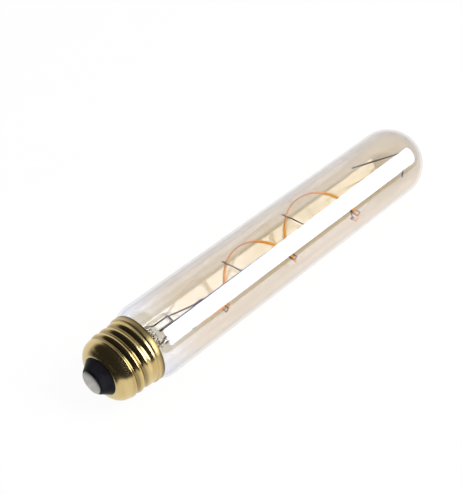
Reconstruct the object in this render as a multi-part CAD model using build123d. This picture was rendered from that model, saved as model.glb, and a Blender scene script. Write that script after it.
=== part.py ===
from build123d import *
import os
from math import cos, hypot, pi, radians, sin

os.makedirs("parts", exist_ok=True)

# All lengths are in millimetres. X runs along the bulb from the end contact to the round end.
overall_length = 185.0
tube_radius = 15.0
glass_wall = 0.9
neck_end_x = 16.0
neck_straight_end_x = 19.2

# Screw cap
contact_radius = 4.74
contact_thickness = 0.9
contact_flat_radius = 3.6
contact_edge = 0.3
contact_stub_radius = 1.2
contact_stub_top_x = 7.4
shell_wall = 0.3
shell_start_x = 4.55
shell_start_radius = 7.75
shell_bulge_x = 5.8
shell_bulge_radius = 10.9
shell_bulge_rings = 4
shell_shoulder_x = 8.4
shell_shoulder_lift = 0.25
thread_full_x = 11.2
thread_crest_radius = 13.0
thread_pitch = 3.629
thread_depth = 0.9
thread_crest_width = 0.5
thread_root_width = 0.9
thread_start_x = 6.83
thread_end_x = 19.1
collar_start_x = 21.0
collar_step = 0.6
collar_lip = 0.5
collar_end_x = 23.2
rim_clearance = 0.3
insulator_lip = 0.45
insulator_rings = 3
cement_start_x = 16.5
cement_thickness = 0.55

# Stem
flare_wall = 0.9
flare_rim_length = 1.2
flare_top_radius = 4.8
flare_neck_x = 26.0
press_start_x = 30.0
press_end_x = 40.5
press_width = 10.5
press_thickness = 4.4
press_corner = 1.6
stem_angle = 15.0
exhaust_radius = 1.6
exhaust_bore = 1.0
exhaust_tip_x = 13.5
exhaust_seal = 1.2

# Wires, each drawn with flats round its section
wire_flat_count = 8
rod_radius = 0.45
rod_start_x = 33.0
lead_radius = 0.3
lead_offset = 3.0
long_lead_run = 1.0
short_lead_run = 0.6
lead_weld_start_x = 52.0
lead_weld_end_x = 56.5
support_radius = 0.24
spring_radius = 0.33
spring_tip_gap = 4.0
spring_reach = 18.5
spring_angle = 160.0
spring_bend = 0.7
hook_clearance = 0.06
hook_rise = 1.2
hook_loop = 1.1
hook_drop = 0.5
hook_tail = 0.2
wall_clearance = 0.03

# Filament, a flat band wound on a slightly widening helix
filament_width = 1.2
filament_thickness = 0.6
helix_pitch = 37.488
helix_mid_x = 90.0
helix_mid_radius = 9.0
helix_widening = 0.046
helix_top_x = 82.55
helix_top_angle = 36.7
run_in_end_x = 56.0
helix_start_x = 64.0
filament_start_x = 45.0
filament_end_x = 141.6
filament_steps = 72
tangent_step = 0.01
clip_length = 2.0
clip_width = 1.5
clip_thickness = 1.0
support_xs = [59.9, 78.0, 96.8, 115.5, 134.2]

# Driver
board_x = 10.0
board_thickness = 1.0
board_edge_gap = 1.35
capacitor_radius = 2.5
capacitor_height = 5.2
capacitor_edge = 0.3
inductor_radius = 2.6
inductor_waist = 1.8
inductor_flange = 0.8
inductor_height = 4.0
part_offset = 6.2
chip_offset = 5.2
rectifier_size = (1.6, 3.9, 4.7)
chip_size = (1.5, 3.9, 4.9)
fuse_radius = 0.9
fuse_start_x = 7.9
fuse_end_x = 9.5
side_lead_lap = 2.1

dome_centre_x = overall_length - tube_radius
tube_inner = tube_radius - glass_wall
thread_root_radius = thread_crest_radius - thread_depth
shoulder_radius = thread_root_radius + shell_shoulder_lift
shell_bore = thread_root_radius - shell_wall
collar_radius = thread_crest_radius + collar_lip
collar_bore = collar_radius - shell_wall
neck_radius = shell_bore - cement_thickness
rim_glass_radius = collar_bore - rim_clearance
neck_run = collar_end_x - neck_straight_end_x
shoulder_run = neck_run * (tube_radius - rim_glass_radius) / (rim_glass_radius - neck_radius)
spring_apex_x = overall_length - spring_tip_gap
spring_arm_x = spring_apex_x - spring_reach
board_radius = shell_bore - board_edge_gap
board_top_x = board_x + board_thickness


def polar(x, radius, angle):
    return Vector(x, radius * cos(radians(angle)), radius * sin(radians(angle)))


def turned(outline):
    return revolve(make_face(outline), Axis.X)


def turned_points(points):
    return turned(Polyline([Vector(x, r, 0) for x, r in points], close=True))


def bent_wire(points, radius):
    path = Polyline(points)
    place = Plane(origin=points[0], z_dir=points[1] - points[0])
    section = place * RegularPolygon(radius, wire_flat_count, major_radius=False)
    return sweep(section, path=path, transition=Transition.RIGHT)


def block(centre, size):
    return Pos(*centre) * Box(*size)


def envelope_outline(wall):
    neck = neck_radius - wall
    rim = rim_glass_radius - wall
    tube = tube_radius - wall
    shoulder_end_x = collar_end_x + shoulder_run
    tip = Vector(overall_length - wall, 0, 0)
    low = Line((neck_end_x, neck, 0), (neck_straight_end_x, neck, 0))
    flare = Line((neck_straight_end_x, neck, 0), (collar_end_x, rim, 0))
    shoulder = TangentArc((shoulder_end_x, tube, 0), (collar_end_x, rim, 0), tangent=(-1, 0, 0))
    side = Line((shoulder_end_x, tube, 0), (dome_centre_x, tube, 0))
    middle = Vector(dome_centre_x + tube * sin(pi / 4), tube * cos(pi / 4), 0)
    dome = ThreePointArc((dome_centre_x, tube, 0), middle, tip)
    axis = Line(tip, (neck_end_x, 0, 0))
    foot = Line((neck_end_x, 0, 0), (neck_end_x, neck, 0))
    return low + flare + shoulder + side + dome + axis + foot


def make_glass_envelope():
    return turned(envelope_outline(0)) - turned(envelope_outline(glass_wall))


def make_stem_blank():
    rim = neck_radius - glass_wall
    rim_end = neck_end_x + flare_rim_length
    inner_top = flare_top_radius - flare_wall
    flare = turned_points(
        [
            (neck_end_x, rim),
            (rim_end, rim),
            (flare_neck_x, flare_top_radius),
            (press_start_x + flare_wall, flare_top_radius),
            (press_start_x + flare_wall, 0),
            (press_start_x, 0),
            (press_start_x, inner_top),
            (flare_neck_x, inner_top),
            (neck_end_x, rim - flare_wall),
        ]
    )
    length = press_end_x - press_start_x
    press = block(((press_start_x + press_end_x) / 2, 0, 0), (length, press_width, press_thickness))
    press = fillet(press.edges().filter_by(Axis.X), press_corner)
    return flare + Rot(stem_angle, 0, 0) * press


def make_exhaust_tube():
    length = press_start_x - exhaust_tip_x
    outer = Pos(exhaust_tip_x + length / 2, 0, 0) * Rot(0, 90, 0) * Cylinder(exhaust_radius, length)
    outer = chamfer(outer.edges().sort_by(Axis.X)[0], exhaust_radius / 2)
    bore_length = length - exhaust_seal
    bore = Pos(press_start_x - bore_length / 2, 0, 0) * Rot(0, 90, 0) * Cylinder(exhaust_bore, bore_length)
    return outer - bore


def make_centre_rod():
    return bent_wire([Vector(rod_start_x, 0, 0), Vector(spring_apex_x, 0, 0)], rod_radius)


def make_long_lead_wire():
    weld = rod_radius + lead_radius
    points = [
        polar(board_x, lead_offset, stem_angle),
        polar(press_end_x + long_lead_run, lead_offset, stem_angle),
        polar(lead_weld_start_x, weld, stem_angle),
        polar(lead_weld_end_x, weld, stem_angle),
    ]
    return bent_wire(points, lead_radius)


def make_short_lead_wire():
    clip_middle = filament_start_x - clip_length / 2
    start = filament_point(filament_start_x)
    points = [
        polar(board_x, lead_offset, stem_angle + 180),
        polar(press_end_x + short_lead_run, lead_offset, stem_angle + 180),
        Vector(clip_middle, start.Y, start.Z),
    ]
    return bent_wire(points, lead_radius)


def filament_angle(x):
    rate = 360 / helix_pitch
    if x >= helix_start_x:
        return helix_top_angle + rate * (x - helix_top_x)
    angle = helix_top_angle + rate * (helix_start_x - helix_top_x)
    run = helix_start_x - run_in_end_x
    left = max(x - run_in_end_x, 0) / run
    return angle - rate * run / 2 * (1 - left * left)


def filament_radius(x):
    return helix_mid_radius + helix_widening * (x - helix_mid_x)


def filament_point(x):
    return polar(x, filament_radius(x), filament_angle(x))


def filament_outward(x):
    point = filament_point(x)
    return Vector(0, point.Y, point.Z).normalized()


def filament_tangent(x):
    return (filament_point(x + tangent_step) - filament_point(x - tangent_step)).normalized()


def make_filament():
    step = (filament_end_x - run_in_end_x) / filament_steps
    xs = [filament_start_x] + [run_in_end_x + step * i for i in range(filament_steps + 1)]
    places = [Plane(filament_point(x), filament_outward(x), filament_tangent(x)) for x in xs]
    return loft([place * Rectangle(filament_thickness, filament_width) for place in places], ruled=True)


def make_clip(x, direction):
    point = filament_point(x)
    tangent = filament_tangent(x) * direction
    across = tangent.cross(filament_outward(x))
    place = Plane(origin=point + tangent * clip_length / 2, x_dir=tangent, z_dir=across)
    return place.location * Box(clip_length, clip_thickness, clip_width)


def make_end_jumper_wire():
    middle = filament_point(filament_end_x) + filament_tangent(filament_end_x) * clip_length / 2
    return bent_wire([Vector(middle.X, 0, 0), middle], support_radius)


def make_support_wire(x):
    reach = filament_width / 2 + support_radius + hook_clearance
    over = filament_thickness / 2 + support_radius + hook_clearance + hook_loop
    point = filament_point(x)
    outward = filament_outward(x)
    side = filament_tangent(x).cross(outward).normalized()
    under = point - outward * (reach + hook_rise)
    points = [
        Vector(x, 0, 0),
        under,
        point + side * reach - outward * hook_drop,
        point + side * reach + outward * over,
        point - side * reach + outward * over,
        point - side * reach - outward * hook_tail,
    ]
    return bent_wire(points, support_radius)


def make_tip_spring():
    run = spring_apex_x - spring_arm_x
    slope = run / hypot(run, tube_inner)
    arm_end = tube_inner - wall_clearance - spring_radius * slope
    points = [
        polar(spring_arm_x, arm_end, spring_angle),
        polar(spring_apex_x, spring_bend, spring_angle),
        polar(spring_apex_x, spring_bend, spring_angle + 180),
        polar(spring_arm_x, arm_end, spring_angle + 180),
    ]
    return bent_wire(points, spring_radius)


def bulge_rings(wall):
    bulge = ThreePointArc(
        (shell_start_x, shell_start_radius, 0),
        (shell_bulge_x, shell_bulge_radius, 0),
        (shell_shoulder_x, shoulder_radius, 0),
    )
    centre = bulge.arc_center
    share = 1 - wall / bulge.radius
    points = [bulge @ (i / shell_bulge_rings) for i in range(shell_bulge_rings + 1)]
    return [((centre + (point - centre) * share).X, (centre + (point - centre) * share).Y) for point in points]


def shell_inner_points():
    rings = [(x, min(radius, shell_bore)) for x, radius in bulge_rings(shell_wall)]
    rest = [
        (collar_start_x - collar_step, shell_bore),
        (collar_start_x, collar_bore),
        (collar_end_x, collar_bore),
    ]
    return rings + rest


def make_thread_groove():
    path = Helix(
        thread_pitch,
        thread_end_x - thread_start_x,
        thread_crest_radius,
        center=(thread_start_x, 0, 0),
        direction=(1, 0, 0),
    )
    start = path @ 0
    outward = Vector(0, start.Y, start.Z).normalized()
    half_root = thread_root_width / 2
    half_mouth = (thread_pitch - thread_crest_width) / 2
    section = Plane(origin=start, x_dir=outward, z_dir=path % 0) * Polygon(
        (-thread_depth, -half_root),
        (-thread_depth, half_root),
        (0, half_mouth),
        (thread_depth / 2, half_mouth),
        (thread_depth / 2, -half_mouth),
        (0, -half_mouth),
        align=None,
    )
    return sweep(section, path=path, is_frenet=True)


def make_cap_shell():
    rest = [
        (thread_full_x, thread_crest_radius),
        (collar_start_x - collar_step, thread_crest_radius),
        (collar_start_x, collar_radius),
        (collar_end_x, collar_radius),
        (collar_end_x, 0),
        (shell_start_x, 0),
    ]
    inner = shell_inner_points()
    hollow = turned_points([(shell_start_x, 0), (shell_start_x, inner[0][1])] + inner + [(collar_end_x, 0)])
    return turned_points(bulge_rings(0) + rest) - make_thread_groove() - hollow


def make_cap_insulator():
    lining = shell_inner_points()[:insulator_rings]
    outline = [
        (contact_thickness, contact_stub_radius),
        (contact_thickness, contact_radius + insulator_lip),
        (shell_start_x, shell_start_radius),
        (shell_start_x, lining[0][1]),
    ]
    return turned_points(outline + lining + [(lining[-1][0], contact_stub_radius)])


def make_end_contact():
    return turned_points(
        [
            (0, 0),
            (0, contact_flat_radius),
            (contact_edge, contact_radius),
            (contact_thickness, contact_radius),
            (contact_thickness, contact_stub_radius),
            (contact_stub_top_x, contact_stub_radius),
            (contact_stub_top_x, 0),
        ]
    )


def make_cap_cement():
    return turned_points(
        [
            (cement_start_x, neck_radius),
            (cement_start_x, shell_bore),
            (neck_straight_end_x, shell_bore),
            (neck_straight_end_x, neck_radius),
        ]
    )


def make_driver_board():
    return Pos(board_x + board_thickness / 2, 0, 0) * Rot(0, 90, 0) * Cylinder(board_radius, board_thickness)


def make_capacitor():
    middle = board_top_x + capacitor_height / 2
    body = Pos(middle, 0, part_offset) * Rot(0, 90, 0) * Cylinder(capacitor_radius, capacitor_height)
    return chamfer(body.edges().sort_by(Axis.X)[-1], capacitor_edge)


def make_inductor():
    top_flange = inductor_height - inductor_flange
    outline = [
        (0, 0),
        (0, inductor_radius),
        (inductor_flange, inductor_radius),
        (inductor_flange, inductor_waist),
        (top_flange, inductor_waist),
        (top_flange, inductor_radius),
        (inductor_height, inductor_radius),
        (inductor_height, 0),
    ]
    return Pos(board_top_x, 0, -part_offset) * turned_points(outline)


def make_rectifier():
    return block((board_x - rectifier_size[0] / 2, chip_offset, 0), rectifier_size)


def make_driver_chip():
    return block((board_x - chip_size[0] / 2, -chip_offset, 0), chip_size)


def make_centre_lead():
    return bent_wire([Vector(contact_stub_top_x, 0, 0), Vector(board_top_x, 0, 0)], lead_radius)


def make_fuse_resistor():
    length = fuse_end_x - fuse_start_x
    return Pos(fuse_start_x + length / 2, 0, 0) * Rot(0, 90, 0) * Cylinder(fuse_radius, length)


def make_side_lead():
    x = board_top_x + lead_radius
    return bent_wire([Vector(x, board_radius - side_lead_lap, 0), Vector(x, shell_bore, 0)], lead_radius)


short_lead_wire = make_short_lead_wire()
centre_lead = make_centre_lead()
tip_spring = make_tip_spring()
centre_rod = make_centre_rod() - tip_spring
long_lead_wire = make_long_lead_wire() - centre_rod
start_clip = make_clip(filament_start_x, -1)
end_clip = make_clip(filament_end_x, 1)
short_lead_wire = short_lead_wire - start_clip

pieces = {
    "glass_envelope": make_glass_envelope(),
    "stem_flare": make_stem_blank() - long_lead_wire - short_lead_wire - centre_rod,
    "exhaust_tube": make_exhaust_tube(),
    "centre_rod": centre_rod,
    "long_lead_wire": long_lead_wire,
    "short_lead_wire": short_lead_wire,
    "filament": make_filament() - start_clip - end_clip,
    "filament_start_clip": start_clip,
    "filament_end_clip": end_clip,
    "end_jumper_wire": make_end_jumper_wire() - centre_rod - end_clip,
    "tip_spring": tip_spring,
    "cap_shell": make_cap_shell(),
    "cap_insulator": make_cap_insulator(),
    "end_contact": make_end_contact(),
    "cap_cement": make_cap_cement(),
    "driver_board": make_driver_board() - long_lead_wire - short_lead_wire - centre_lead,
    "rectifier": make_rectifier(),
    "driver_chip": make_driver_chip(),
    "capacitor": make_capacitor(),
    "inductor": make_inductor(),
    "centre_lead": centre_lead,
    "fuse_resistor": make_fuse_resistor() - centre_lead,
    "side_lead": make_side_lead(),
}
for number, support_x in enumerate(support_xs, 1):
    pieces[f"support_wire_{number}"] = make_support_wire(support_x) - centre_rod

for name, shape in pieces.items():
    shape.label = name
    export_step(shape, f"parts/{name}.step")
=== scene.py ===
from math import atan2, cos, hypot, pi, radians, sin, sqrt

import bmesh
import bpy
from mathutils import Matrix, Vector


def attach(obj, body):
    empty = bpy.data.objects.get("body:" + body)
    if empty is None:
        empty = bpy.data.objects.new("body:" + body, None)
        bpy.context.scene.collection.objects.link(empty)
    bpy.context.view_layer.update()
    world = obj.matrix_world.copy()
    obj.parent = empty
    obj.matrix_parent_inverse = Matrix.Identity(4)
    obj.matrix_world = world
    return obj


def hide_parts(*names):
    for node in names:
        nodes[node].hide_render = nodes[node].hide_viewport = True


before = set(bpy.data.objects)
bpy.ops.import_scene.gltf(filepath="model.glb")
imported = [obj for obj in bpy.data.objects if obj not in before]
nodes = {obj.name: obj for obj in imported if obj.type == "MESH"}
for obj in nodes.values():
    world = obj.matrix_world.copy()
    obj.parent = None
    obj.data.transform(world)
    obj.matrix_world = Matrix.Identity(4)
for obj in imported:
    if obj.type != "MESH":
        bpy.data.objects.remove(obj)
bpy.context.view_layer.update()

mm = 0.001
print("frame loaded,", len(nodes), "nodes")


def deselectAll():
    if bpy.context.mode != "OBJECT":
        bpy.ops.object.mode_set(mode="OBJECT")
    bpy.ops.object.select_all(action="DESELECT")


def closeMesh(piece, name, smoothAngle):
    bpy.ops.object.mode_set(mode="EDIT")
    bpy.ops.mesh.select_all(action="SELECT")
    bpy.ops.mesh.remove_doubles(threshold=1e-6)
    bpy.ops.mesh.normals_make_consistent(inside=False)
    bpy.ops.object.mode_set(mode="OBJECT")
    piece.name = piece.data.name = name
    bpy.ops.object.shade_smooth_by_angle(angle=radians(smoothAngle))
    return piece


# one vertex is pushed along the half section, which is then spun about the bulb's axis
def turnPiece(name, profile, steps, smoothAngle=40):
    deselectAll()
    bpy.ops.mesh.primitive_plane_add(size=mm)
    piece = bpy.context.object
    bpy.ops.object.mode_set(mode="EDIT")
    bpy.ops.mesh.select_all(action="SELECT")
    bpy.ops.mesh.merge(type="CENTER")
    points = [Vector((x * mm, r * mm, 0)) for x, r in profile]
    bpy.ops.transform.translate(value=points[0])
    for here, there in zip(points, points[1:] + points[:1]):
        bpy.ops.mesh.extrude_region_move(TRANSFORM_OT_translate={"value": there - here})
    bpy.ops.mesh.select_all(action="SELECT")
    bpy.ops.mesh.remove_doubles(threshold=1e-6)
    bpy.ops.mesh.select_all(action="SELECT")
    bpy.ops.mesh.spin(steps=steps, angle=2 * pi, center=(0, 0, 0), axis=(1, 0, 0))
    return closeMesh(piece, name, smoothAngle)


# a disc is pushed from station to station
# each has its middle, two directions across, half sizes along them, and squareness
def loftPiece(name, stations, corners, smoothAngle=60):
    deselectAll()
    bpy.ops.mesh.primitive_circle_add(vertices=corners, radius=mm, fill_type="NGON")
    piece = bpy.context.object
    bpy.ops.object.mode_set(mode="EDIT")
    bpy.ops.mesh.select_all(action="SELECT")
    last = (Vector((0, 0, 0)), Vector((1, 0, 0)), Vector((0, 1, 0)), 1.0, 1.0)
    for number, (middle, across, outward, wide, thick, square) in enumerate(stations):
        if number:
            bpy.ops.mesh.extrude_region_move(TRANSFORM_OT_translate={"value": (0, 0, 0)})
        mesh = bmesh.from_edit_mesh(piece.data)
        for v in mesh.verts:
            if v.select:
                away = v.co / mm - last[0]
                a = atan2(away.dot(last[2]) / last[4], away.dot(last[1]) / last[3])
                reach = (abs(cos(a)) ** square + abs(sin(a)) ** square) ** (-1 / square)
                v.co = (middle + across * reach * wide * cos(a) + outward * reach * thick * sin(a)) * mm
        bmesh.update_edit_mesh(piece.data)
        last = (middle, across, outward, wide, thick)
    return closeMesh(piece, name, smoothAngle)


# stations along the bulb's axis, turned about it: x, half width, half thickness, squareness
def axisStations(sections, turn):
    across, outward = polar(0, 1, turn), polar(0, 1, turn + 90)
    return [
        (Vector((x, 0, 0)), across, outward, wide, thick, square) for x, wide, thick, square in sections
    ]


# a stiff wire: every corner of its path gets a short bend, and the path a round section
def wirePiece(name, path, radius, bend=0.0, smoothAngle=50):
    points = [path[0]]
    for before, corner, after in zip(path, path[1:], path[2:]):
        if bend:
            inRun, outRun = before - corner, after - corner
            points.append(corner + inRun.normalized() * min(bend, inRun.length / 2))
            points.append(corner)
            points.append(corner + outRun.normalized() * min(bend, outRun.length / 2))
        else:
            points.append(corner)
    points.append(path[-1])
    deselectAll()
    bpy.ops.curve.primitive_nurbs_path_add()
    piece = bpy.context.object
    piece.data.splines.clear()
    line = piece.data.splines.new("NURBS")
    line.points.add(len(points) - 1)
    for point, place in zip(line.points, points):
        point.co = (*(place * mm), 1)
    line.order_u = 3
    line.use_endpoint_u = True
    line.resolution_u = 5
    piece.data.bevel_depth = radius * mm
    piece.data.bevel_resolution = 4
    piece.data.use_fill_caps = True
    bpy.ops.object.convert(target="MESH")
    return closeMesh(bpy.context.object, name, smoothAngle)


def arcPoints(centre, radius, fromAngle, toAngle, count):
    angles = [radians(fromAngle + (toAngle - fromAngle) * i / count) for i in range(count + 1)]
    return [(centre[0] + radius * cos(a), centre[1] + radius * sin(a)) for a in angles]


# points of the arc that leaves start in the tangent's direction and ends at end
def tangentArc(start, tangent, end, count):
    chord = Vector(end) - Vector(start)
    normal = Vector((-tangent[1], tangent[0]))
    radius = chord.length_squared / (2 * chord.dot(normal))
    centre = Vector(start) + normal * radius
    first = atan2(start[1] - centre[1], start[0] - centre[0])
    last = atan2(end[1] - centre[1], end[0] - centre[0])
    sweep = (last - first + pi) % (2 * pi) - pi
    angles = [first + sweep * i / count for i in range(count + 1)]
    return [(centre[0] + abs(radius) * cos(t), centre[1] + abs(radius) * sin(t)) for t in angles]


# points of the arc from a through b to c
def threePointArc(a, b, c, count):
    d = 2 * (a[0] * (b[1] - c[1]) + b[0] * (c[1] - a[1]) + c[0] * (a[1] - b[1]))
    sa, sb, sc = (p[0] ** 2 + p[1] ** 2 for p in (a, b, c))
    centre = (
        (sa * (b[1] - c[1]) + sb * (c[1] - a[1]) + sc * (a[1] - b[1])) / d,
        (sa * (c[0] - b[0]) + sb * (a[0] - c[0]) + sc * (b[0] - a[0])) / d,
    )
    radius = hypot(a[0] - centre[0], a[1] - centre[1])
    first = atan2(a[1] - centre[1], a[0] - centre[0])
    sweep = (atan2(c[1] - centre[1], c[0] - centre[0]) - first + pi) % (2 * pi) - pi
    angles = [first + sweep * i / count for i in range(count + 1)]
    return [(centre[0] + radius * cos(t), centre[1] + radius * sin(t)) for t in angles]


def polar(x, radius, angle):
    return Vector((x, radius * cos(radians(angle)), radius * sin(radians(angle))))


def smoothStep(t):
    t = min(max(t, 0.0), 1.0)
    return t * t * (3 - 2 * t)


mottleLook = {"broadDetail": 3.0, "fineDetail": 2.0, "spread": (0.32, 0.68)}


# shared effect: two scales of soft noise give a colour, a roughness and a fine height
def makeMottle():
    group = bpy.data.node_groups.new("mottle", "ShaderNodeTree")
    face = group.interface
    for name, kind, value in [
        ("Place", "NodeSocketVector", None),
        ("Scale", "NodeSocketFloat", 200.0),
        ("Fine Scale", "NodeSocketFloat", 2000.0),
        ("Dark", "NodeSocketColor", (0.4, 0.4, 0.4, 1)),
        ("Light", "NodeSocketColor", (0.6, 0.6, 0.6, 1)),
        ("Rough Low", "NodeSocketFloat", 0.2),
        ("Rough High", "NodeSocketFloat", 0.4),
    ]:
        socket = face.new_socket(name, in_out="INPUT", socket_type=kind)
        if value is not None:
            socket.default_value = value
    face.new_socket("Colour", in_out="OUTPUT", socket_type="NodeSocketColor")
    face.new_socket("Roughness", in_out="OUTPUT", socket_type="NodeSocketFloat")
    face.new_socket("Height", in_out="OUTPUT", socket_type="NodeSocketFloat")
    make, link = group.nodes.new, group.links.new
    given, made = make("NodeGroupInput"), make("NodeGroupOutput")
    broad, fine = make("ShaderNodeTexNoise"), make("ShaderNodeTexNoise")
    broad.inputs["Detail"].default_value = mottleLook["broadDetail"]
    fine.inputs["Detail"].default_value = mottleLook["fineDetail"]
    link(given.outputs["Place"], broad.inputs["Vector"])
    link(given.outputs["Place"], fine.inputs["Vector"])
    link(given.outputs["Scale"], broad.inputs["Scale"])
    link(given.outputs["Fine Scale"], fine.inputs["Scale"])
    spread = make("ShaderNodeMapRange")
    spread.inputs["From Min"].default_value = mottleLook["spread"][0]
    spread.inputs["From Max"].default_value = mottleLook["spread"][1]
    link(broad.outputs["Fac"], spread.inputs["Value"])
    tone = make("ShaderNodeMix")
    tone.data_type = "RGBA"
    link(spread.outputs["Result"], tone.inputs["Factor"])
    link(given.outputs["Dark"], tone.inputs["A"])
    link(given.outputs["Light"], tone.inputs["B"])
    darkening = make("ShaderNodeMapRange")
    link(fine.outputs["Fac"], darkening.inputs["Value"])
    link(given.outputs["Rough Low"], darkening.inputs["To Min"])
    link(given.outputs["Rough High"], darkening.inputs["To Max"])
    link(tone.outputs["Result"], made.inputs["Colour"])
    link(darkening.outputs["Result"], made.inputs["Roughness"])
    link(fine.outputs["Fac"], made.inputs["Height"])
    return group


mottle = makeMottle()


# a finish reads the mottle at its own scale, stretched where the real surface has a grain
def makeFinish(name, look):
    material = bpy.data.materials.new(name)
    material.use_nodes = True
    tree = material.node_tree
    make, link = tree.nodes.new, tree.links.new
    shader = tree.nodes["Principled BSDF"]
    place, grain = make("ShaderNodeTexCoord"), make("ShaderNodeMapping")
    grain.inputs["Scale"].default_value = look.get("stretch", (1, 1, 1))
    link(place.outputs["Object"], grain.inputs["Vector"])
    effect = make("ShaderNodeGroup")
    effect.node_tree = mottle
    link(grain.outputs["Vector"], effect.inputs["Place"])
    effect.inputs["Scale"].default_value = look["scale"]
    effect.inputs["Fine Scale"].default_value = look["fineScale"]
    effect.inputs["Dark"].default_value = (*look["dark"], 1)
    effect.inputs["Light"].default_value = (*look["light"], 1)
    effect.inputs["Rough Low"].default_value = look["rough"][0]
    effect.inputs["Rough High"].default_value = look["rough"][1]
    link(effect.outputs["Colour"], shader.inputs["Base Color"])
    link(effect.outputs["Roughness"], shader.inputs["Roughness"])
    # an attribute darkens the colour towards a given tone: painted shade in the cap's thread grooves and at
    # the collar's rim, and a darker edge on the end contact
    if look.get("darkeningTone"):
        held, darkened = make("ShaderNodeAttribute"), make("ShaderNodeMix")
        held.attribute_name = "darkening"
        darkened.data_type, darkened.blend_type = "RGBA", "MULTIPLY"
        darkened.inputs["B"].default_value = (*look["darkeningTone"], 1)
        link(held.outputs["Fac"], darkened.inputs["Factor"])
        link(effect.outputs["Colour"], darkened.inputs["A"])
        link(darkened.outputs["Result"], shader.inputs["Base Color"])
    if look.get("satin"):
        brushed, blur = make("ShaderNodeAttribute"), make("ShaderNodeMath")
        brushed.attribute_name = "satin"
        blur.operation = "MULTIPLY_ADD"
        blur.inputs[1].default_value = look["satin"]
        link(brushed.outputs["Fac"], blur.inputs[0])
        link(effect.outputs["Roughness"], blur.inputs[2])
        link(blur.outputs["Value"], shader.inputs["Roughness"])
    if look.get("bump"):
        bump = make("ShaderNodeBump")
        bump.inputs["Strength"].default_value = look["bump"]
        bump.inputs["Distance"].default_value = look.get("depth", 0.02) * mm
        link(effect.outputs["Height"], bump.inputs["Height"])
        link(bump.outputs["Normal"], shader.inputs["Normal"])
    for socket, value in look.get("plain", {}).items():
        shader.inputs[socket].default_value = value
    return material


# lamps and soft light pass to what is inside the glass, with a slight tint
def letLightIn(tree, seen, tint):
    make, link = tree.nodes.new, tree.links.new
    path, soft = make("ShaderNodeLightPath"), make("ShaderNodeMath")
    clear, both = make("ShaderNodeBsdfTransparent"), make("ShaderNodeMixShader")
    soft.operation = "MAXIMUM"
    clear.inputs["Color"].default_value = (*tint, 1)
    link(path.outputs["Is Shadow Ray"], soft.inputs[0])
    link(path.outputs["Is Diffuse Ray"], soft.inputs[1])
    link(soft.outputs["Value"], both.inputs["Fac"])
    link(seen, both.inputs[1])
    link(clear.outputs["BSDF"], both.inputs[2])
    link(both.outputs["Shader"], tree.nodes["Material Output"].inputs["Surface"])


def makeGlass(name, look):
    material = makeFinish(name, look)
    tree = material.node_tree
    letLightIn(tree, tree.nodes["Principled BSDF"].outputs["BSDF"], look["lamp"])
    return material


# thin coated glass: a tint that shows what is behind, and a bluish mirror that grows and pales at the edges
def makeCoatedGlass(name, look):
    material = makeFinish(name, look)
    tree = material.node_tree
    make, link = tree.nodes.new, tree.links.new
    shader = tree.nodes["Principled BSDF"]
    mirror = shader.outputs["BSDF"]
    place, cloud, tint = make("ShaderNodeTexCoord"), make("ShaderNodeTexNoise"), make("ShaderNodeMix")
    cloud.inputs["Scale"].default_value = look["tintScale"]
    tint.data_type = "RGBA"
    tint.inputs["A"].default_value = (*look["tint"][0], 1)
    tint.inputs["B"].default_value = (*look["tint"][1], 1)
    link(place.outputs["Object"], cloud.inputs["Vector"])
    link(cloud.outputs["Fac"], tint.inputs["Factor"])
    along, start, coat = make("ShaderNodeSeparateXYZ"), make("ShaderNodeMapRange"), make("ShaderNodeMix")
    start.interpolation_type = "SMOOTHSTEP"
    start.inputs["From Min"].default_value = look["tintFrom"] * mm
    start.inputs["From Max"].default_value = look["tintFull"] * mm
    coat.data_type = "RGBA"
    coat.inputs["A"].default_value = (*look["bare"], 1)
    link(place.outputs["Object"], along.inputs["Vector"])
    link(along.outputs["X"], start.inputs["Value"])
    link(start.outputs["Result"], coat.inputs["Factor"])
    link(tint.outputs["Result"], coat.inputs["B"])
    clear, nothing = make("ShaderNodeBsdfTransparent"), make("ShaderNodeBsdfTransparent")
    nothing.inputs["Color"].default_value = (0, 0, 0, 1)
    film, body, edge = make("ShaderNodeMixShader"), make("ShaderNodeAddShader"), make("ShaderNodeMixShader")
    film.inputs["Fac"].default_value = look["mirror"]
    link(nothing.outputs["BSDF"], film.inputs[1])
    link(mirror, film.inputs[2])
    link(clear.outputs["BSDF"], body.inputs[0])
    link(film.outputs["Shader"], body.inputs[1])
    facing, rise = make("ShaderNodeLayerWeight"), make("ShaderNodeMath")
    facing.inputs["Blend"].default_value = 0.5
    rise.operation = "POWER"
    rise.inputs[1].default_value = look["edgePower"]
    link(facing.outputs["Facing"], rise.inputs[0])
    link(rise.outputs["Value"], edge.inputs["Fac"])
    pale, whiten = make("ShaderNodeMath"), make("ShaderNodeMix")
    pale.operation = "POWER"
    pale.inputs[1].default_value = look["rimPower"]
    whiten.data_type = "RGBA"
    whiten.inputs["B"].default_value = (*look["rimMirror"], 1)
    link(facing.outputs["Facing"], pale.inputs[0])
    link(pale.outputs["Value"], whiten.inputs["Factor"])
    link(shader.inputs["Base Color"].links[0].from_socket, whiten.inputs["A"])
    link(whiten.outputs["Result"], shader.inputs["Base Color"])
    rim = make("ShaderNodeMix")
    rim.data_type, rim.blend_type = "RGBA", "MULTIPLY"
    rim.inputs["B"].default_value = (*look["rimTint"], 1)
    link(pale.outputs["Value"], rim.inputs["Factor"])
    link(coat.outputs["Result"], rim.inputs["A"])
    link(rim.outputs["Result"], clear.inputs["Color"])
    link(body.outputs["Shader"], edge.inputs[1])
    link(mirror, edge.inputs[2])
    letLightIn(tree, edge.outputs["Shader"], look["lamp"])
    return material


# how much darker or how satin each point of a turned piece is, by its place along the axis and its radius;
# on the cap the darkening is painted shade
def setPerPoint(piece, kind, rule):
    values = [rule(v.co.x / mm, hypot(v.co.y, v.co.z) / mm) for v in piece.data.vertices]
    piece.data.attributes.new(kind, "FLOAT", "POINT").data.foreach_set("value", values)


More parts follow.
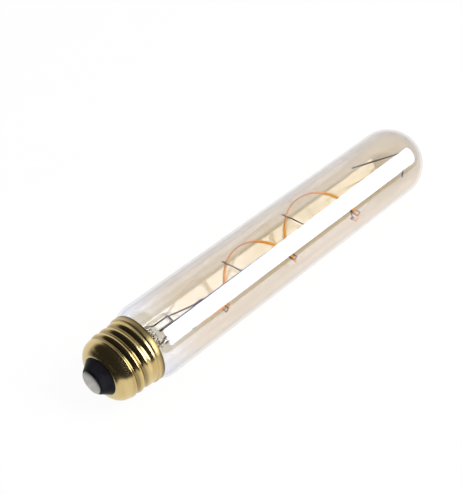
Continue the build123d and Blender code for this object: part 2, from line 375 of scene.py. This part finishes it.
def dress(piece, material, slot, *stoodFor):
    piece.data.materials.clear()
    piece.data.materials.append(material)
    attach(piece, "root")
    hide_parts(*stoodFor)
    return piece


# glass tube, drawn in to a neck that the cap hides
tube = {
    "neck": 11.25, "neckStart": 16.0, "neckEnd": 19.2, "rim": 12.9, "rimX": 23.2,
    "radius": 15.0, "shoulderX": 28.291, "domeX": 170.0, "wall": 0.9, "steps": 144,
    "arcSteps": 14, "domeSteps": 36, "smooth": 60,
}
tintedGlass = makeCoatedGlass("tintedGlass", {
    "scale": 45.0, "fineScale": 260.0, "stretch": (0.25, 1, 1),
    "dark": (0.43, 0.48, 0.74), "light": (0.48, 0.53, 0.8), "rough": (0.0, 0.015),
    "tint": [(0.815, 0.77, 0.665), (0.832, 0.79, 0.697)], "tintScale": 30.0, "mirror": 0.2,
    "bare": (0.88, 0.87, 0.835), "tintFrom": 25.0, "tintFull": 46.0,
    "rimTint": (1.05, 1.075, 1.13), "rimMirror": (0.75, 0.74, 0.73), "edgePower": 3.0, "rimPower": 1.5,
    "lamp": (0.97, 0.94, 0.88), "plain": {"Metallic": 1.0},
})


def tubeProfile(wall):
    t = tube
    top, rim = (t["shoulderX"], t["radius"] - wall), (t["rimX"], t["rim"] - wall)
    shoulder = tangentArc(top, (-1, 0), rim, t["arcSteps"])
    dome = arcPoints((t["domeX"], 0), t["radius"] - wall, 90, 0, t["domeSteps"])
    neck = [(t["neckStart"], t["neck"] - wall), (t["neckEnd"], t["neck"] - wall)]
    return neck + shoulder[::-1] + dome


tubeSection = tubeProfile(0) + tubeProfile(tube["wall"])[::-1]
glass = turnPiece("glass_tube", tubeSection, tube["steps"], tube["smooth"])
dress(glass, tintedGlass, "tinted_glass", "glass_envelope")
print("glass tube made")

# stem: the hollow flare is pinched into a flat press that holds the wires
stem = {"angle": 15.0, "corners": 72, "sections": [
    (30.0, 1.2, 1.2, 2), (30.0, 3.2, 3.2, 2), (29.5, 3.9, 3.9, 2), (26.0, 3.9, 3.9, 2),
    (24.5, 4.35, 4.35, 2), (16.0, 9.45, 9.45, 2), (16.0, 10.35, 10.35, 2), (17.2, 10.35, 10.35, 2),
    (17.8, 10.0, 10.0, 2), (25.2, 5.3, 5.3, 2), (26.4, 4.85, 4.85, 2), (28.5, 4.8, 4.8, 2),
    (30.0, 4.95, 4.4, 2.2), (31.2, 5.15, 3.1, 2.7), (32.6, 5.25, 2.35, 3.2), (34.0, 5.25, 2.2, 4),
    (39.3, 5.25, 2.2, 4), (40.1, 5.0, 2.0, 4), (40.5, 4.4, 1.5, 3.5), (40.5, 1.6, 0.6, 3),
]}
pumpTube = {"corners": 32, "sections": [
    (14.7, 0.5, 0.5, 2), (14.9, 1.0, 1.0, 2), (30.0, 1.0, 1.0, 2), (30.0, 1.6, 1.6, 2), (14.6, 1.6, 1.6, 2),
    (13.8, 1.2, 1.2, 2), (13.5, 0.6, 0.6, 2),
]}
clearGlass = makeGlass("clearGlass", {
    "scale": 90.0, "fineScale": 500.0, "dark": (0.93, 0.94, 0.93), "light": (0.97, 0.97, 0.96),
    "rough": (0.0, 0.02), "lamp": (0.95, 0.95, 0.94), "bump": 0.25, "depth": 0.25,
    "plain": {"Transmission Weight": 1.0, "IOR": 1.5, "Metallic": 0.0},
})
flare = loftPiece("stem_glass", axisStations(stem["sections"], stem["angle"]), stem["corners"])
dress(flare, clearGlass, "clear_glass", "stem_flare")
pump = loftPiece("pump_tube", axisStations(pumpTube["sections"], 0), pumpTube["corners"])
dress(pump, clearGlass, "clear_glass", "exhaust_tube")
print("stem made")

# wires: the centre wire, two leads, the tip wire and five cross wires with hooks
wires = {
    "rod": 0.45, "rodStart": 33.0, "apex": 181.0, "lead": 0.3, "leadOffset": 3.0, "boardX": 10.0,
    "pressEnd": 40.5, "longRun": 1.0, "longRound": 1.2, "shortRun": 0.6, "shortRound": 0.6, "clipLap": 0.75,
    "weldStart": 52.0, "weldEnd": 56.5, "spring": 0.33, "springArmX": 162.5, "springAngle": 160.0,
    "springBend": 0.7, "springRound": 0.6, "tubeInner": 14.1, "wallGap": 0.03, "support": 0.24,
    "hookGap": 0.06, "hookRise": 1.2, "hookLoop": 1.1, "hookDrop": 0.5, "hookTail": 0.2, "hookRound": 0.35,
    "supportXs": [59.9, 78.0, 96.8, 115.5, 134.2],
}
# filament: a slightly widening helix about the rod, straight at the stem
coil = {
    "width": 1.2, "thick": 0.6, "pitch": 37.488, "midX": 90.0, "midRadius": 9.0, "widening": 0.046,
    "topX": 82.55, "topAngle": 36.7, "runInEnd": 56.0, "helixStart": 64.0, "start": 45.0, "end": 141.6,
    "steps": 150, "corners": 20, "square": 4.0, "tangentStep": 0.01,
    "clipLength": 2.0, "clipWidth": 1.5, "clipThick": 1.0, "clipBevel": 0.2, "clipSmooth": 30,
}


def coilPoint(x):
    rate = 360 / coil["pitch"]
    angle = coil["topAngle"] + rate * (max(x, coil["helixStart"]) - coil["topX"])
    if x < coil["helixStart"]:
        run = coil["helixStart"] - coil["runInEnd"]
        left = max(x - coil["runInEnd"], 0) / run
        angle -= rate * run / 2 * (1 - left * left)
    return polar(x, coil["midRadius"] + coil["widening"] * (x - coil["midX"]), angle)


def coilTangent(x):
    return (coilPoint(x + coil["tangentStep"]) - coilPoint(x - coil["tangentStep"])).normalized()


def outwardAt(x):
    point = coilPoint(x)
    return Vector((0, point.y, point.z)).normalized()


wireMetal = makeFinish("darkWire", {
    "scale": 300.0, "fineScale": 2500.0, "stretch": (0.2, 1, 1), "dark": (0.09, 0.075, 0.05),
    "light": (0.17, 0.145, 0.1), "rough": (0.3, 0.45), "bump": 0.2, "plain": {"Metallic": 1.0},
})
amber = makeFinish("amberSilicone", {
    "scale": 700.0, "fineScale": 3000.0, "dark": (0.92, 0.4, 0.05), "light": (1.0, 0.5, 0.09),
    "rough": (0.35, 0.5), "bump": 0.15, "plain": {"Subsurface Weight": 0.0, "Coat Weight": 0.15},
})
w = wires
rod = wirePiece("centre_wire", [Vector((w["rodStart"], 0, 0)), Vector((w["apex"], 0, 0))], w["rod"])
dress(rod, wireMetal, "wire_metal", "centre_rod")
weld = w["rod"] + w["lead"]
longLead = wirePiece("long_lead", [
    polar(w["boardX"], w["leadOffset"], stem["angle"]),
    polar(w["pressEnd"] + w["longRun"], w["leadOffset"], stem["angle"]),
    polar(w["weldStart"], weld, stem["angle"]),
    polar(w["weldEnd"], weld, stem["angle"]),
], w["lead"], w["longRound"])
dress(longLead, wireMetal, "wire_metal", "long_lead_wire")
startPoint = coilPoint(coil["start"])
shortLead = wirePiece("short_lead", [
    polar(w["boardX"], w["leadOffset"], stem["angle"] + 180),
    polar(w["pressEnd"] + w["shortRun"], w["leadOffset"], stem["angle"] + 180),
    Vector((coil["start"] - coil["clipLength"] * w["clipLap"], startPoint.y, startPoint.z)),
], w["lead"], w["shortRound"])
dress(shortLead, wireMetal, "wire_metal", "short_lead_wire")
armRun = w["apex"] - w["springArmX"]
armEnd = w["tubeInner"] - w["wallGap"] - w["spring"] * armRun / hypot(armRun, w["tubeInner"])
spring = wirePiece("tip_wire", [
    polar(w["springArmX"], armEnd, w["springAngle"]),
    polar(w["apex"], w["springBend"], w["springAngle"]),
    polar(w["apex"], w["springBend"], w["springAngle"] + 180),
    polar(w["springArmX"], armEnd, w["springAngle"] + 180),
], w["spring"], w["springRound"])
dress(spring, wireMetal, "wire_metal", "tip_spring")
reach = coil["width"] / 2 + w["support"] + w["hookGap"]
over = coil["thick"] / 2 + w["support"] + w["hookGap"] + w["hookLoop"]
for number, x in enumerate(w["supportXs"], 1):
    point, outward = coilPoint(x), outwardAt(x)
    side = coilTangent(x).cross(outward).normalized()
    support = wirePiece(f"cross_wire_{number}", [
        Vector((x, 0, 0)),
        point - outward * (reach + w["hookRise"]),
        point + side * reach - outward * w["hookDrop"],
        point + side * reach + outward * over,
        point - side * reach + outward * over,
        point - side * reach - outward * w["hookTail"],
    ], w["support"], w["hookRound"])
    dress(support, wireMetal, "wire_metal", f"support_wire_{number}")
endMiddle = coilPoint(coil["end"]) + coilTangent(coil["end"]) * coil["clipLength"] / 2
jumper = wirePiece("end_jumper", [Vector((endMiddle.x, 0, 0)), endMiddle], w["support"])
dress(jumper, wireMetal, "wire_metal", "end_jumper_wire")
step = (coil["end"] - coil["runInEnd"]) / coil["steps"]
stations = []
for x in [coil["start"]] + [coil["runInEnd"] + step * i for i in range(coil["steps"] + 1)]:
    side = coilTangent(x).cross(outwardAt(x)).normalized()
    lift = side.cross(coilTangent(x)).normalized()
    stations.append((coilPoint(x), side, lift, coil["width"] / 2, coil["thick"] / 2, coil["square"]))
filament = loftPiece("amber_filament", stations, coil["corners"])
dress(filament, amber, "filament_coat", "filament")


# a small metal end on the filament, bevelled and turned along it
def makeClip(name, x, direction):
    deselectAll()
    bpy.ops.mesh.primitive_cube_add(size=1)
    clip = bpy.context.object
    clip.scale = Vector((coil["clipLength"], coil["clipThick"], coil["clipWidth"])) * mm
    bpy.ops.object.transform_apply(scale=True)
    bpy.ops.object.mode_set(mode="EDIT")
    bpy.ops.mesh.select_all(action="SELECT")
    bpy.ops.mesh.bevel(offset=coil["clipBevel"] * mm, segments=3, affect="EDGES")
    bpy.ops.object.mode_set(mode="OBJECT")
    tangent, outward = coilTangent(x) * direction, outwardAt(x)
    across = tangent.cross(outward).normalized()
    turn = Matrix((tangent, across.cross(tangent), across)).transposed().to_4x4()
    turn.translation = (coilPoint(x) + tangent * coil["clipLength"] / 2) * mm
    clip.data.transform(turn)
    return closeMesh(clip, name, coil["clipSmooth"])


dress(makeClip("start_clip", coil["start"], -1), wireMetal, "wire_metal", "filament_start_clip")
dress(makeClip("end_clip", coil["end"], 1), wireMetal, "wire_metal", "filament_end_clip")
print("wires and filament made")

# screw cap: a turned shell whose outer wall is then rolled into the thread
cap = {
    "startX": 4.55, "startRadius": 7.75, "bulge": (5.8, 10.9), "shoulder": (8.4, 12.35), "fullX": 11.2,
    "crest": 13.0, "depth": 0.9, "pitch": 3.629, "threadX": 6.83, "threadEnd": 19.1, "fadeOut": 1.8,
    "startTurn": 0.25, "threadClear": 0.3, "stepX": 20.4, "collarX": 21.0, "collar": 13.5, "endX": 23.2,
    "wall": 0.3, "bore": 11.8, "lip": [(0.16, 0.12), (0.05, 0.09)], "rimRound": 0.13, "rimShare": 0.3,
    "bulgeRows": 28, "runInRows": 16, "rows": 96, "flareRows": 6, "liningRows": 12, "steps": 192,
    "smooth": 45, "groovePaintedShade": 0.6, "grooveFade": 2.0, "rimPaintedShade": 0.8, "rimFade": 0.4, "satinLead": 0.6,
}
# the brass darkens towards its darkening tone where painted shade is set: in the thread's grooves and at
# the collar's rim
brass = makeFinish("rolledBrass", {
    "scale": 160.0, "fineScale": 1800.0, "stretch": (2.5, 0.35, 0.35), "dark": (0.6, 0.462, 0.205),
    "light": (0.7, 0.545, 0.27), "rough": (0.19, 0.225), "bump": 0.02, "darkeningTone": (0.12, 0.1, 0.06),
    "satin": 0.15, "plain": {"Metallic": 1.0},
})


# the round front of the shell, or its inside
def bulgeRows(wall, count):
    outer = threePointArc((cap["startX"], cap["startRadius"]), cap["bulge"], cap["shoulder"], count)
    rows = []
    for i, (x, radius) in enumerate(outer):
        before, after = Vector(outer[max(i - 1, 0)]), Vector(outer[min(i + 1, count)])
        run = (after - before).normalized()
        rows.append((x + run.y * wall, radius - run.x * wall))
    return rows


def shellProfile():
    c = cap
    bulge = bulgeRows(0, c["bulgeRows"])
    full, (fromX, fromRadius) = c["fullX"], c["shoulder"]
    shares = [i / c["runInRows"] for i in range(1, c["runInRows"] + 1)]
    runIn = [(fromX + (full - fromX) * t, fromRadius + (c["crest"] - fromRadius) * t) for t in shares]
    rows = [(full + (c["stepX"] - full) * i / c["rows"], c["crest"]) for i in range(1, c["rows"] + 1)]
    shares = [i / c["flareRows"] for i in range(1, c["flareRows"] + 1)]
    wide, rise = c["collarX"] - c["stepX"], c["collar"] - c["crest"]
    flareOut = [(c["stepX"] + wide * t, c["crest"] + rise * smoothStep(t)) for t in shares]
    e, r, end = c["rimRound"], c["collar"], c["endX"]
    share = e * c["rimShare"]
    rim = [(end - e, r), (end - share, r - share), (end, r - e), (end, r - c["wall"])]
    lining = [(x, min(radius, c["bore"])) for x, radius in bulgeRows(c["wall"], c["liningRows"])][::-1]
    inside = [(c["collarX"], r - c["wall"]), (c["stepX"], c["bore"])]
    lip = [(c["startX"] + deep, c["startRadius"] - inward) for deep, inward in c["lip"]]
    return lip + bulge + runIn + rows + flareOut + rim + inside + lining


shell = turnPiece("brass_cap", shellProfile(), cap["steps"], cap["smooth"])
for v in shell.data.vertices:
    x, y, z = v.co / mm
    radius = hypot(y, z)
    if x > cap["stepX"] + cap["threadClear"]:
        continue
    turns = atan2(z, y) / (2 * pi) - cap["startTurn"]
    groove = cap["threadX"] + cap["pitch"] * turns
    groove += cap["pitch"] * round((x - groove) / cap["pitch"])
    if groove < cap["threadX"] - 1e-6:
        continue
    wave = 0.5 + 0.5 * cos(2 * pi * (x - groove) / cap["pitch"])
    faded = smoothStep((groove - cap["threadEnd"] + cap["fadeOut"]) / cap["fadeOut"])
    depth = cap["depth"] * wave * (1 - faded)
    rolled = min(radius, cap["crest"] - depth)
    v.co.y, v.co.z = y * rolled / radius * mm, z * rolled / radius * mm
shell.data.update()


# the thread's grooves and the collar's top rim get painted shade, a darker colour, and the collar is satin
def shellPaintedShade(x, radius):
    groove = smoothStep((cap["crest"] - radius) / cap["depth"])
    groove *= smoothStep((x - cap["shoulder"][0]) / cap["grooveFade"])
    return max(groove * cap["groovePaintedShade"], smoothStep((x - cap["endX"] + cap["rimPaintedShade"]) / cap["rimFade"]))


def shellSatin(x, radius):
    return smoothStep((x - cap["stepX"] + cap["satinLead"]) / cap["satinLead"])


# painted shade in the grooves and at the collar's rim
setPerPoint(shell, "darkening", shellPaintedShade)
setPerPoint(shell, "satin", shellSatin)
dress(shell, brass, "brass", "cap_shell")

# black glass between shell and end contact
plug = {
    "lip": 5.19, "stub": 1.2, "faceX": 0.9, "soft": 0.22, "softRun": (1.2, 0.8), "softSteps": 5,
    "seatGap": 0.01, "liningRows": 7, "steps": 96, "smooth": 35,
}
blackGlass = makeFinish("blackGlass", {
    "scale": 250.0, "fineScale": 900.0, "dark": (0.009, 0.009, 0.012), "light": (0.02, 0.019, 0.024),
    "rough": (0.24, 0.34), "bump": 0.1, "depth": 0.05, "plain": {"Specular IOR Level": 0.03},
})
lining = bulgeRows(cap["wall"], cap["liningRows"])[:plug["liningRows"]]
soft, (softX, softRadius) = plug["soft"], plug["softRun"]
softEnd = (plug["faceX"] + soft * softX, plug["lip"] + soft * softRadius)
front = tangentArc((plug["faceX"], plug["lip"] - soft), (0, 1), softEnd, plug["softSteps"])
insulator = turnPiece("black_insulator", [(plug["faceX"], plug["stub"])] + front + [
    (cap["startX"], cap["startRadius"] - plug["seatGap"]), (cap["startX"], lining[0][1]),
] + lining + [(lining[-1][0], plug["stub"])], plug["steps"], plug["smooth"])
dress(insulator, blackGlass, "black_glass", "cap_insulator")

# end contact: a tinned disc with a turned edge on a stub
button = {
    "face": [(0.0, 0.0), (0.0, 2.4), (0.012, 3.2), (0.05, 3.6)],
    "edge": [(0.1, 3.9), (0.14, 4.1), (0.19, 4.3), (0.26, 4.5), (0.42, 4.68), (0.6, 4.74)],
    "radius": 4.74, "thick": 0.9, "stub": 1.2, "stubTop": 7.4, "darkeningFrom": 4.35, "darkeningRun": 0.35,
    "steps": 96, "smooth": 35,
}
tinned = makeFinish("tinnedContact", {
    "scale": 420.0, "fineScale": 2600.0, "dark": (0.5, 0.5, 0.49), "light": (0.63, 0.62, 0.6),
    "rough": (0.38, 0.55), "bump": 0.18, "darkeningTone": (0.03, 0.03, 0.035), "plain": {"Metallic": 0.85},
})
contact = turnPiece("end_button", button["face"] + button["edge"] + [
    (button["thick"], button["radius"]), (button["thick"], button["stub"]),
    (button["stubTop"], button["stub"]), (button["stubTop"], 0.0),
], button["steps"], button["smooth"])


# the contact's colour is darker towards its edge
def contactEdgeDark(x, radius):
    return smoothStep((radius - button["darkeningFrom"]) / button["darkeningRun"])


setPerPoint(contact, "darkening", contactEdgeDark)
dress(contact, tinned, "contact_metal", "end_contact")
print("cap made")

# what the cap hides keeps its solid and gets its finish
hidden = {  # dark and light colour, roughness, bump, metal
    "cap_cement": ((0.6, 0.54, 0.43), (0.78, 0.72, 0.61), (0.8, 0.95), 0.6, 0.0),
    "driver_board": ((0.05, 0.2, 0.09), (0.08, 0.27, 0.12), (0.3, 0.42), 0.1, 0.0),
    "rectifier": ((0.025, 0.025, 0.026), (0.05, 0.05, 0.05), (0.45, 0.6), 0.3, 0.0),
    "capacitor": ((0.6, 0.6, 0.62), (0.74, 0.74, 0.76), (0.25, 0.36), 0.0, 1.0),
    "inductor": ((0.07, 0.065, 0.065), (0.13, 0.12, 0.12), (0.6, 0.75), 0.4, 0.0),
    "fuse_resistor": ((0.36, 0.46, 0.47), (0.48, 0.58, 0.58), (0.3, 0.4), 0.1, 0.0),
}
for node, (dark, light, rough, bump, metal) in hidden.items():
    finish = makeFinish(node + "Finish", {
        "scale": 500.0, "fineScale": 3000.0, "dark": dark, "light": light, "rough": rough,
        "bump": bump, "plain": {"Metallic": metal},
    })
    for owner in [node] + (["driver_chip"] if node == "rectifier" else []):
        nodes[owner].data.materials.clear()
        nodes[owner].data.materials.append(finish)
for owner in ["centre_lead", "side_lead"]:
    nodes[owner].data.materials.clear()
    nodes[owner].data.materials.append(wireMetal)
print("hidden pieces dressed")

# camera at the photo's angle
view = {
    "place": (-0.15634, -0.21347, 0.29865), "forward": (0.5420, 0.5075, -0.6698),
    "right": (0.6835, -0.7299, 0.0), "focalPixels": 1127.94, "longSidePixels": 494, "sensor": 36.0,
    "clip": (0.01, 50.0),
}
camera = bpy.data.objects.new("camera", bpy.data.cameras.new("camera"))
bpy.context.scene.collection.objects.link(camera)
forward = Vector(view["forward"]).normalized()
right = Vector(view["right"]).normalized()
up = right.cross(forward)
turned = Matrix((right, up, -forward)).transposed().to_4x4()
camera.matrix_world = Matrix.Translation(view["place"]) @ turned
camera.data.sensor_width = view["sensor"]
camera.data.lens = view["focalPixels"] * view["sensor"] / view["longSidePixels"]
camera.data.clip_start, camera.data.clip_end = view["clip"]
bpy.context.scene.camera = camera
bpy.context.scene.view_settings.view_transform = "Standard"

# studio: pale floor and world, a wide softbox in front at the right, and a room that is dark overhead
studio = {
    "floorZ": -0.015, "floorSize": 6.0, "ambient": 0.5, "floorGlow": 0.95, "roomDark": 0.03,
    "brightSpan": (1.0, 1.5),
    "keyPlace": (0.35, -0.55, 0.75), "keyAim": (0.09, 0, 0), "keySize": 0.5, "keyPower": 8.5,
}


# camera, mirror and glass see a bright background, and soft light a dimmer one
def showsBackground(make, link):
    path = make("ShaderNodeLightPath")
    seen, known = make("ShaderNodeMath"), make("ShaderNodeMath")
    seen.operation = known.operation = "MAXIMUM"
    link(path.outputs["Is Camera Ray"], seen.inputs[0])
    link(path.outputs["Is Glossy Ray"], seen.inputs[1])
    link(seen.outputs["Value"], known.inputs[0])
    link(path.outputs["Is Transmission Ray"], known.inputs[1])
    return known.outputs["Value"]


world = bpy.data.worlds.new("paleStudio")
bpy.context.scene.world = world
world.use_nodes = True
make, link = world.node_tree.nodes.new, world.node_tree.links.new
fill = world.node_tree.nodes["Background"]
fill.inputs["Color"].default_value = (1.0, 0.99, 0.98, 1)
fill.inputs["Strength"].default_value = studio["ambient"]
plain, both = make("ShaderNodeBackground"), make("ShaderNodeMixShader")
plain.inputs["Color"].default_value = (1, 1, 1, 1)
plain.inputs["Strength"].default_value = 1.0
link(showsBackground(make, link), both.inputs["Fac"])
link(fill.outputs["Background"], both.inputs[1])
link(plain.outputs["Background"], both.inputs[2])
link(both.outputs["Shader"], world.node_tree.nodes["World Output"].inputs["Surface"])

deselectAll()
bpy.ops.mesh.primitive_plane_add(size=studio["floorSize"], location=(0, 0, studio["floorZ"]))
floor = bpy.context.object
floor.name = "floor"
floorPaper = makeFinish("floorPaper", {
    "scale": 30.0, "fineScale": 400.0, "dark": (0.9, 0.9, 0.9), "light": (0.94, 0.94, 0.94),
    "rough": (0.85, 0.95), "plain": {"Specular IOR Level": 0.0},
})
make, link = floorPaper.node_tree.nodes.new, floorPaper.node_tree.links.new
glow, share, mix = make("ShaderNodeEmission"), make("ShaderNodeMath"), make("ShaderNodeMixShader")
share.operation = "MULTIPLY"
share.inputs[1].default_value = studio["floorGlow"]
link(showsBackground(make, link), share.inputs[0])
link(share.outputs["Value"], mix.inputs["Fac"])
link(floorPaper.node_tree.nodes["Principled BSDF"].outputs["BSDF"], mix.inputs[1])
link(glow.outputs["Emission"], mix.inputs[2])
link(mix.outputs["Shader"], floorPaper.node_tree.nodes["Material Output"].inputs["Surface"])
floor.data.materials.append(floorPaper)


# sheets that only reflections see: rows of points, each with its own light
# light over the bright span turns the sheet's colour to the bright one
def makeSheet(name, rows, colour, bright=None, sampling="NONE"):
    mesh = bpy.data.meshes.new(name)
    wide = len(rows[0])
    corners = [r * wide + c for r in range(len(rows) - 1) for c in range(wide - 1)]
    faces = [(k, k + 1, k + wide + 1, k + wide) for k in corners]
    mesh.from_pydata([place for row in rows for place, light in row], [], faces)
    lights = [light for row in rows for place, light in row]
    mesh.attributes.new("light", "FLOAT", "POINT").data.foreach_set("value", lights)
    sheet = bpy.data.objects.new(name, mesh)
    bpy.context.scene.collection.objects.link(sheet)
    material = bpy.data.materials.new(name)
    material.use_nodes = True
    make, link = material.node_tree.nodes.new, material.node_tree.links.new
    held, glow = make("ShaderNodeAttribute"), make("ShaderNodeEmission")
    held.attribute_name = "light"
    over, tone = make("ShaderNodeMapRange"), make("ShaderNodeMix")
    over.inputs["From Min"].default_value = studio["brightSpan"][0]
    over.inputs["From Max"].default_value = studio["brightSpan"][1]
    tone.data_type = "RGBA"
    tone.inputs["A"].default_value = (*colour, 1)
    tone.inputs["B"].default_value = (*(bright or colour), 1)
    link(held.outputs["Fac"], over.inputs["Value"])
    link(over.outputs["Result"], tone.inputs["Factor"])
    link(tone.outputs["Result"], glow.inputs["Color"])
    link(held.outputs["Fac"], glow.inputs["Strength"])
    link(glow.outputs["Emission"], material.node_tree.nodes["Material Output"].inputs["Surface"])
    material.cycles.emission_sampling = sampling
    mesh.materials.append(material)
    sheet.visible_camera = sheet.visible_diffuse = False
    sheet.visible_shadow = sheet.visible_transmission = False
    return sheet


def fadeTo(dark):
    return 1 + (studio["roomDark"] - 1) * dark


# softbox: its far end is round, and its upper edge rises along the bulb
box = {
    "distance": 0.55, "bottom": 173.0, "middle": 148.0, "top": (129.0, 112.0), "xs": (0.18, 1.05),
    "round": 0.34, "light": 6.2, "colour": (0.93, 0.965, 1.0), "rows": 24, "columns": 8,
}
nearX, endX = box["xs"]
boxRows = []
for i in range(box["rows"] + 1):
    share = i / box["rows"]
    t = 2 * share - 1
    nearAngle, farAngle = (box["bottom"] + (top - box["bottom"]) * share for top in box["top"])
    farX = endX - box["round"] * (1 - sqrt(1 - t * t))
    row = []
    for j in range(box["columns"] + 1):
        x = nearX + (farX - nearX) * j / box["columns"]
        angle = nearAngle + (farAngle - nearAngle) * (x - nearX) / (endX - nearX)
        row.append((polar(x, box["distance"] / cos(radians(angle - box["middle"])), angle), box["light"]))
    boxRows.append(row)
makeSheet("softbox", boxRows, box["colour"], sampling="AUTO")

# room: a half globe about the bulb, in rows that lean along it
# each pair says where a change starts and how far it runs, in degrees
room = {
    "radius": 1.3, "colour": (1.0, 0.98, 0.95), "leans": range(-90, 85, 2), "angles": range(-2, 183, 4),
    "edge": 27.0, "riseBehind": 46.0, "riseAhead": 72.0, "fade": 26.0, "farPale": (46.4, 2.5),
    "collarPale": 0.6, "collarFrom": (16.0, 12.0), "collarTo": (33.4, 2.0),
    "haze": 0.18, "hazeFrom": (8.0, 14.0), "back": 0.45, "backFrom": (8.0, 14.0),
}


def ramp(value, pair):
    return smoothStep((value - pair[0]) / pair[1])


# the room is dark above an angle that rises along the bulb, paler where the collar reflects it
# and pale past the round end
def roomRow(lean):
    x = sin(radians(lean))
    edge = room["edge"] + room["riseAhead" if x > 0 else "riseBehind"] * x
    collar = room["collarPale"] * ramp(lean, room["collarFrom"]) * (1 - ramp(lean, room["collarTo"]))
    back = room["back"] * ramp(-lean, room["backFrom"])
    row = []
    for angle in room["angles"]:
        dark = smoothStep((angle - edge) / room["fade"] + 0.5) * (1 - ramp(lean, room["farPale"]))
        dark = max(dark * (1 - collar), room["haze"] * ramp(angle, room["hazeFrom"]), back)
        row.append((polar(x, cos(radians(lean)), angle) * room["radius"], fadeTo(dark)))
    return row


makeSheet("darkRoom", [roomRow(lean) for lean in room["leans"]], room["colour"])

# dark floor on the camera's side, from a hand's length in front of the bulb
# it has a warm card near the glass, and comes closer where it turns round the cap's end
card = {0.012: 0.08, 0.017: 0.3, 0.022: 0.55, 0.03: 0.45, 0.045: 0.22, 0.08: 0.1}  # distance: light
ground = {
    "colour": (1.0, 0.98, 0.95), "warm": (1.0, 0.89, 0.74), "lift": 0.0005, "dark": (0.15, 0.05),
    "fars": [0.006, *card, 0.12, 0.13, 0.14, 0.15, 0.16, 0.17, 0.18, 0.19, 0.2, 0.21, 0.4, 0.8, 1.25],
    "turns": range(99, 271, 9), "turnDark": (105, 18), "close": 0.93, "closeTurn": 250, "closeRun": 60,
    "wider": 0.08, "widerTurn": 185, "widerRun": 40, "closeTo": 0.3,
    "xs": (0.03, 0.05, 0.1, 0.2, 0.3, 0.5, 0.7, 0.8, 0.9, 1.0, 1.1, 1.2), "farPale": (0.75, 0.4),
    "cardFrom": (0.03, 0.02), "cardTo": (0.2, 0.1),
}
groundZ = studio["floorZ"] + ground["lift"]
floorRows = []
for far in ground["fars"]:
    dark = ramp(far, ground["dark"])
    row = []
    for turn in ground["turns"]:
        near = 1 - ground["close"] * smoothStep((ground["closeTurn"] - turn) / ground["closeRun"])
        near += ground["wider"] * smoothStep((ground["widerTurn"] - turn) / ground["widerRun"])
        reach = far * (near if far < ground["closeTo"] else 1)
        place = (reach * cos(radians(turn)), reach * sin(radians(turn)), groundZ)
        row.append((place, fadeTo(dark * ramp(turn, ground["turnDark"]))))
    for x in ground["xs"]:
        light = fadeTo(dark * (1 - ramp(x, ground["farPale"])))
        light += card.get(far, 0) * (ramp(x, ground["cardFrom"]) - ramp(x, ground["cardTo"]))
        row.append(((x, -far, groundZ), light))
    floorRows.append(row)
makeSheet("darkFloor", floorRows, ground["colour"], ground["warm"])

# key lamp, which lights the soft surfaces and shows in no reflection
lamp = bpy.data.lights.new("key", "AREA")
lamp.size = studio["keySize"]
lamp.energy = studio["keyPower"]
key = bpy.data.objects.new("key", lamp)
bpy.context.scene.collection.objects.link(key)
key.location = studio["keyPlace"]
key.rotation_mode = "QUATERNION"
aim = Vector(studio["keyAim"]) - Vector(studio["keyPlace"])
key.rotation_quaternion = aim.to_track_quat("-Z", "Y")
key.visible_glossy = key.visible_transmission = key.visible_camera = False
print("studio made")
